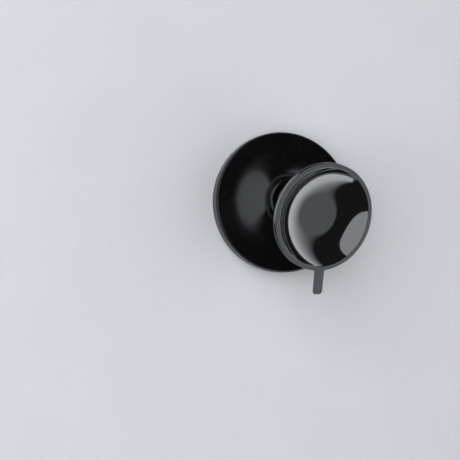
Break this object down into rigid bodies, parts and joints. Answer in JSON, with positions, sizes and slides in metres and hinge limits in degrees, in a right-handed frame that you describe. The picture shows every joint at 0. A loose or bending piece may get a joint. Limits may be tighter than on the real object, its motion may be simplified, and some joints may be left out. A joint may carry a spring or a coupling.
{
  "type": "magnetic phone grip",
  "caption": "Round magnetic puck with a flared ball socket that carries a suction cup with a pull tab, held between the fingers behind a handset or stuck to a smooth pane.",
  "frame": {"origin": "centre of the contact pad's flat face, which lies on the back of the device", "axes": "+Z along the puck's axis towards the suction cup, +Y opposite to the pull tab, so the puck lies flat on its pad"},
  "size_m": [0.056, 0.0652, 0.0457],
  "materials": {
    "shell_plastic": "satin moulded polycarbonate",
    "cover_plastic": "fine moulded texture",
    "adhesive_film": "clear film",
    "pad_silicone": "matt soft touch",
    "plated_steel": "zinc plated",
    "spring_steel": "oiled spring steel",
    "magnet_nickel": "nickel plated",
    "seat_acetal": "natural acetal",
    "anodised_aluminium": "black anodised",
    "core_nylon": "glass-filled nylon",
    "insert_brass": "turned",
    "cup_silicone": "matt lip and tab, polished bowl"
  },
  "bodies": {
    "base": {"base_shell": "shell_plastic", "back_cover": "cover_plastic", "pad_adhesive": "adhesive_film", "contact_pad": "pad_silicone", "yoke_ring": "plated_steel", "magnet_01": "magnet_nickel", "magnet_02": "magnet_nickel", "magnet_03": "magnet_nickel", "magnet_04": "magnet_nickel", "magnet_05": "magnet_nickel", "magnet_06": "magnet_nickel", "magnet_07": "magnet_nickel", "magnet_08": "magnet_nickel", "magnet_09": "magnet_nickel", "magnet_10": "magnet_nickel", "magnet_11": "magnet_nickel", "magnet_12": "magnet_nickel", "magnet_13": "magnet_nickel", "magnet_14": "magnet_nickel", "magnet_15": "magnet_nickel", "magnet_16": "magnet_nickel", "retainer_plate": "plated_steel", "retainer_screws": "plated_steel", "friction_spring": "spring_steel"},
    "seat": {"ball_seat": "seat_acetal"},
    "head": {"ball_stud": "anodised_aluminium", "neck_hub": "shell_plastic", "cup_core": "core_nylon", "core_insert": "insert_brass", "suction_cup": "cup_silicone"}
  },
  "joints": [
    {"name": "ball_swivel", "type": "hinge", "parent": "base", "child": "seat", "pos_m": [0, 0, 0.01105], "axis": [0, 0, 1], "continuous": true},
    {"name": "ball_tilt", "type": "hinge", "parent": "seat", "child": "head", "pos_m": [0, 0, 0.01105], "axis": [0.8387, 0.5446, 0], "range_deg": [-44, 6]}
  ]
}
